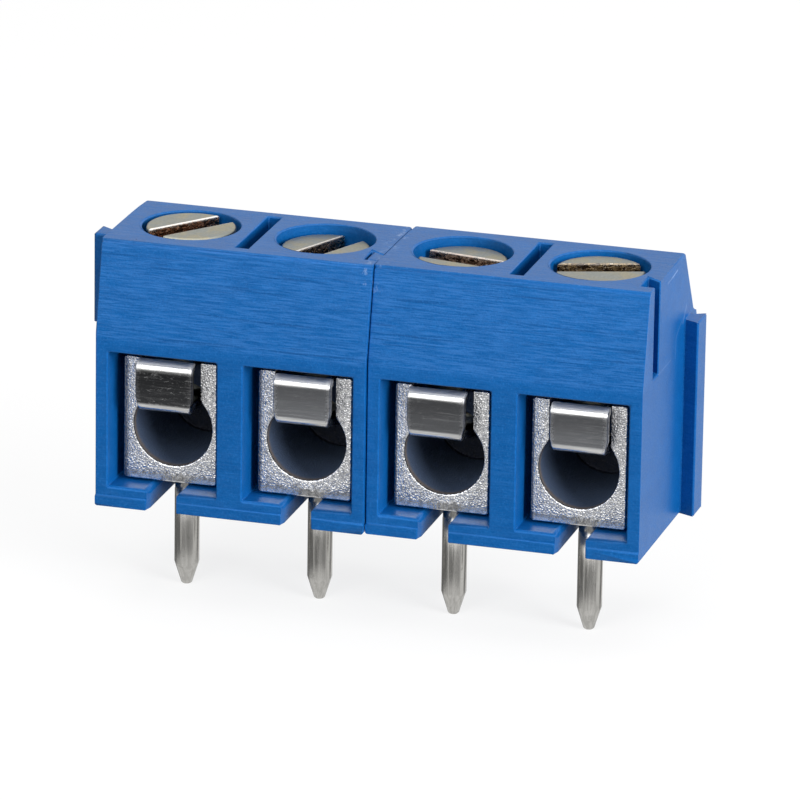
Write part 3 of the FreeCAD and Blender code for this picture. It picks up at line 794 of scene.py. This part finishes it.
def studio(nt, direction):
    """What polished surfaces see along a direction: a soft studio of dark floor, bright front boxes and grey back wall."""
    def put(socket, v):
        if isinstance(v, bpy.types.NodeSocket):
            nt.links.new(v, socket)
        else:
            socket.default_value = v

    def m(op, a, b=0.0):
        n = nt.nodes.new("ShaderNodeMath")
        n.operation = op
        put(n.inputs[0], a)
        put(n.inputs[1], b)
        return n.outputs[0]

    def step(v, lo, hi):
        n = nt.nodes.new("ShaderNodeMapRange")
        n.interpolation_type = "SMOOTHSTEP"
        put(n.inputs[0], v)
        n.inputs[1].default_value, n.inputs[2].default_value = lo, hi
        return n.outputs[0]

    def blend(f, a, b):
        n = nt.nodes.new("ShaderNodeMix")
        n.data_type = "FLOAT"
        put(n.inputs[0], f)
        put(n.inputs[2], a)
        put(n.inputs[3], b)
        return n.outputs[0]

    def round_table(v, stops):
        n = nt.nodes.new("ShaderNodeValToRGB")
        while len(n.color_ramp.elements) < len(stops):
            n.color_ramp.elements.new(0.5)
        for e, (a, g) in zip(n.color_ramp.elements, stops):
            e.position = (a + 180) / 360
            e.color = (g / 3, g / 3, g / 3, 1.0)
        put(n.inputs[0], v)
        sep = nt.nodes.new("ShaderNodeSeparateColor")
        nt.links.new(n.outputs[0], sep.inputs[0])
        return m("MULTIPLY", sep.outputs[0], 3.0)

    sep = nt.nodes.new("ShaderNodeSeparateXYZ")
    nt.links.new(direction, sep.inputs[0])
    x, y, z = sep.outputs
    el = m("MULTIPLY", m("ARCSINE", z), 180 / math.pi)
    turn = m("ADD", m("MULTIPLY", m("ARCTAN2", x, m("MULTIPLY", y, -1.0)), 0.5 / math.pi), 0.5)
    low = round_table(turn, STUDIO_LOW)
    high = round_table(turn, STUDIO_HIGH)
    v = blend(step(el, *STUDIO_RISE), low, high)
    v = blend(step(el, 40.0, 62.0), v, STUDIO_TOP)
    return blend(step(el, -34.0, -24.5), STUDIO_STEEP, v)


STUDIO_LOW = ((-180, .40), (-140, .30), (-115, .12), (-58, .17), (-48, .16), (-43, .62), (-39, .62), (-33, .20), (-8, .21), (12, .29), (40, .31), (68, .29),
              (85, .66), (112, .66), (128, .16), (143, .22), (157, .78), (180, .62))
STUDIO_HIGH = ((-180, .84), (-120, .80), (-80, 1.4), (-40, 2.3), (40, 2.3), (90, 1.4), (130, .80), (180, .84))
STUDIO_RISE = (-6.0, 20.0)
STUDIO_TOP = 1.5
STUDIO_STEEP = 0.62

bm = bmesh.new()
s = 1.5
for x, y in ((-s, -s), (s, -s), (s, s), (-s, s)):
    bm.verts.new((x, y, CAD_BOUNDS[0][2] - 0.00002))
bm.faces.new(bm.verts)
floor = object_from("floor", bm)
mat = bpy.data.materials.new("pale_floor")
mat.use_nodes = True
mat.cycles.emission_sampling = "NONE"
nt = mat.node_tree
nt.nodes.clear()
out = nt.nodes.new("ShaderNodeOutputMaterial")
path_info = nt.nodes.new("ShaderNodeLightPath")
geo = nt.nodes.new("ShaderNodeNewGeometry")
flip = nt.nodes.new("ShaderNodeVectorMath")
flip.operation = "SCALE"
flip.inputs["Scale"].default_value = -1.0
nt.links.new(geo.outputs["Incoming"], flip.inputs[0])
cloud = nt.nodes.new("ShaderNodeTexNoise")
cloud.inputs["Scale"].default_value = 20.0
tone = nt.nodes.new("ShaderNodeMapRange")
tone.inputs[3].default_value, tone.inputs[4].default_value = 0.34, 0.37
nt.links.new(cloud.outputs[0], tone.inputs[0])
paint = nt.nodes.new("ShaderNodeBsdfDiffuse")
nt.links.new(tone.outputs[0], paint.inputs["Color"])
seen = nt.nodes.new("ShaderNodeBsdfDiffuse")           # what the camera sees: paper lit evenly, with a light shadow
seen.inputs["Color"].default_value = (0.20, 0.20, 0.20, 1)
glow = nt.nodes.new("ShaderNodeEmission")
glow.inputs["Strength"].default_value = 0.80
paper = nt.nodes.new("ShaderNodeAddShader")
nt.links.new(seen.outputs[0], paper.inputs[0])
nt.links.new(glow.outputs[0], paper.inputs[1])
mirror = nt.nodes.new("ShaderNodeEmission")
nt.links.new(studio(nt, flip.outputs[0]), mirror.inputs["Strength"])
a = nt.nodes.new("ShaderNodeMixShader")
nt.links.new(path_info.outputs["Is Camera Ray"], a.inputs[0])
nt.links.new(paint.outputs[0], a.inputs[1])
nt.links.new(paper.outputs[0], a.inputs[2])
b = nt.nodes.new("ShaderNodeMixShader")
nt.links.new(path_info.outputs["Is Glossy Ray"], b.inputs[0])
nt.links.new(a.outputs[0], b.inputs[1])
nt.links.new(mirror.outputs[0], b.inputs[2])
nt.links.new(b.outputs[0], out.inputs[0])
floor.data.materials.append(mat)

world = bpy.data.worlds.new("studio")
scene.world = world
world.use_nodes = True
world.cycles.sampling_method = "NONE"
wt = world.node_tree
wt.nodes.clear()
wo = wt.nodes.new("ShaderNodeOutputWorld")
bg = wt.nodes.new("ShaderNodeBackground")
wt.links.new(bg.outputs[0], wo.inputs[0])
tc = wt.nodes.new("ShaderNodeTexCoord")
sep = wt.nodes.new("ShaderNodeSeparateXYZ")
wt.links.new(tc.outputs["Generated"], sep.inputs[0])
mr = wt.nodes.new("ShaderNodeMapRange")
mr.inputs[1].default_value = -0.1
mr.inputs[2].default_value = 0.9
mr.inputs[3].default_value = 0.10
mr.inputs[4].default_value = 0.50
wt.links.new(sep.outputs[2], mr.inputs[0])
info = wt.nodes.new("ShaderNodeLightPath")
pick = wt.nodes.new("ShaderNodeMix")
pick.data_type = "FLOAT"
wt.links.new(info.outputs["Is Glossy Ray"], pick.inputs[0])
wt.links.new(mr.outputs[0], pick.inputs[2])
wt.links.new(studio(wt, tc.outputs["Generated"]), pick.inputs[3])
white = wt.nodes.new("ShaderNodeMix")                 # the camera sees plain white beyond the floor
white.data_type = "FLOAT"
wt.links.new(info.outputs["Is Camera Ray"], white.inputs[0])
wt.links.new(pick.outputs[0], white.inputs[2])
white.inputs[3].default_value = 0.97
wt.links.new(white.outputs[0], bg.inputs["Strength"])
bg.inputs["Color"].default_value = (1.0, 1.0, 1.0, 1.0)


def area(name, loc, target, size, power, colour=(1, 1, 1), size_y=None):
    d = bpy.data.lights.new(name, "AREA")
    d.energy = power
    d.color = colour
    d.size = size
    if size_y:
        d.shape = "RECTANGLE"
        d.size_y = size_y
    o = link(bpy.data.objects.new(name, d))
    o.visible_glossy = False
    o.location = loc
    o.rotation_euler = (Vector(target) - Vector(loc)).to_track_quat("-Z", "Y").to_euler()
    return o


area("top_box", (0.02, 0.0, 0.40), (0, 0, 0), 0.36, 0.57)
area("front_box", (-0.07, -0.34, 0.20), (0, 0, 0.003), 0.22, 0.54)
area("right_box", (0.32, -0.15, 0.10), (0, 0, 0.003), 0.20, 1.86)

az, el, roll = math.radians(16.29), math.radians(18.307), math.radians(0.873)
back = Vector((math.sin(az) * math.cos(el), -math.cos(az) * math.cos(el), math.sin(el)))
right = Vector((math.cos(az), math.sin(az), 0))
up = back.cross(right)
R = math.cos(roll) * right + math.sin(roll) * up
U = -math.sin(roll) * right + math.cos(roll) * up
loc = Vector((0.395, 0.0, 4.113)) * MM + back * (272.613 * MM)
cam_data = bpy.data.cameras.new("camera")
cam_data.sensor_width = 36.0
cam_data.lens = 7697.934 / 800 * 36.0
cam_data.clip_start = 0.01
cam_data.clip_end = 10.0
cam = link(bpy.data.objects.new("camera", cam_data))
cam.matrix_world = Matrix(((R.x, U.x, back.x, loc.x), (R.y, U.y, back.y, loc.y), (R.z, U.z, back.z, loc.z), (0, 0, 0, 1)))
scene.camera = cam
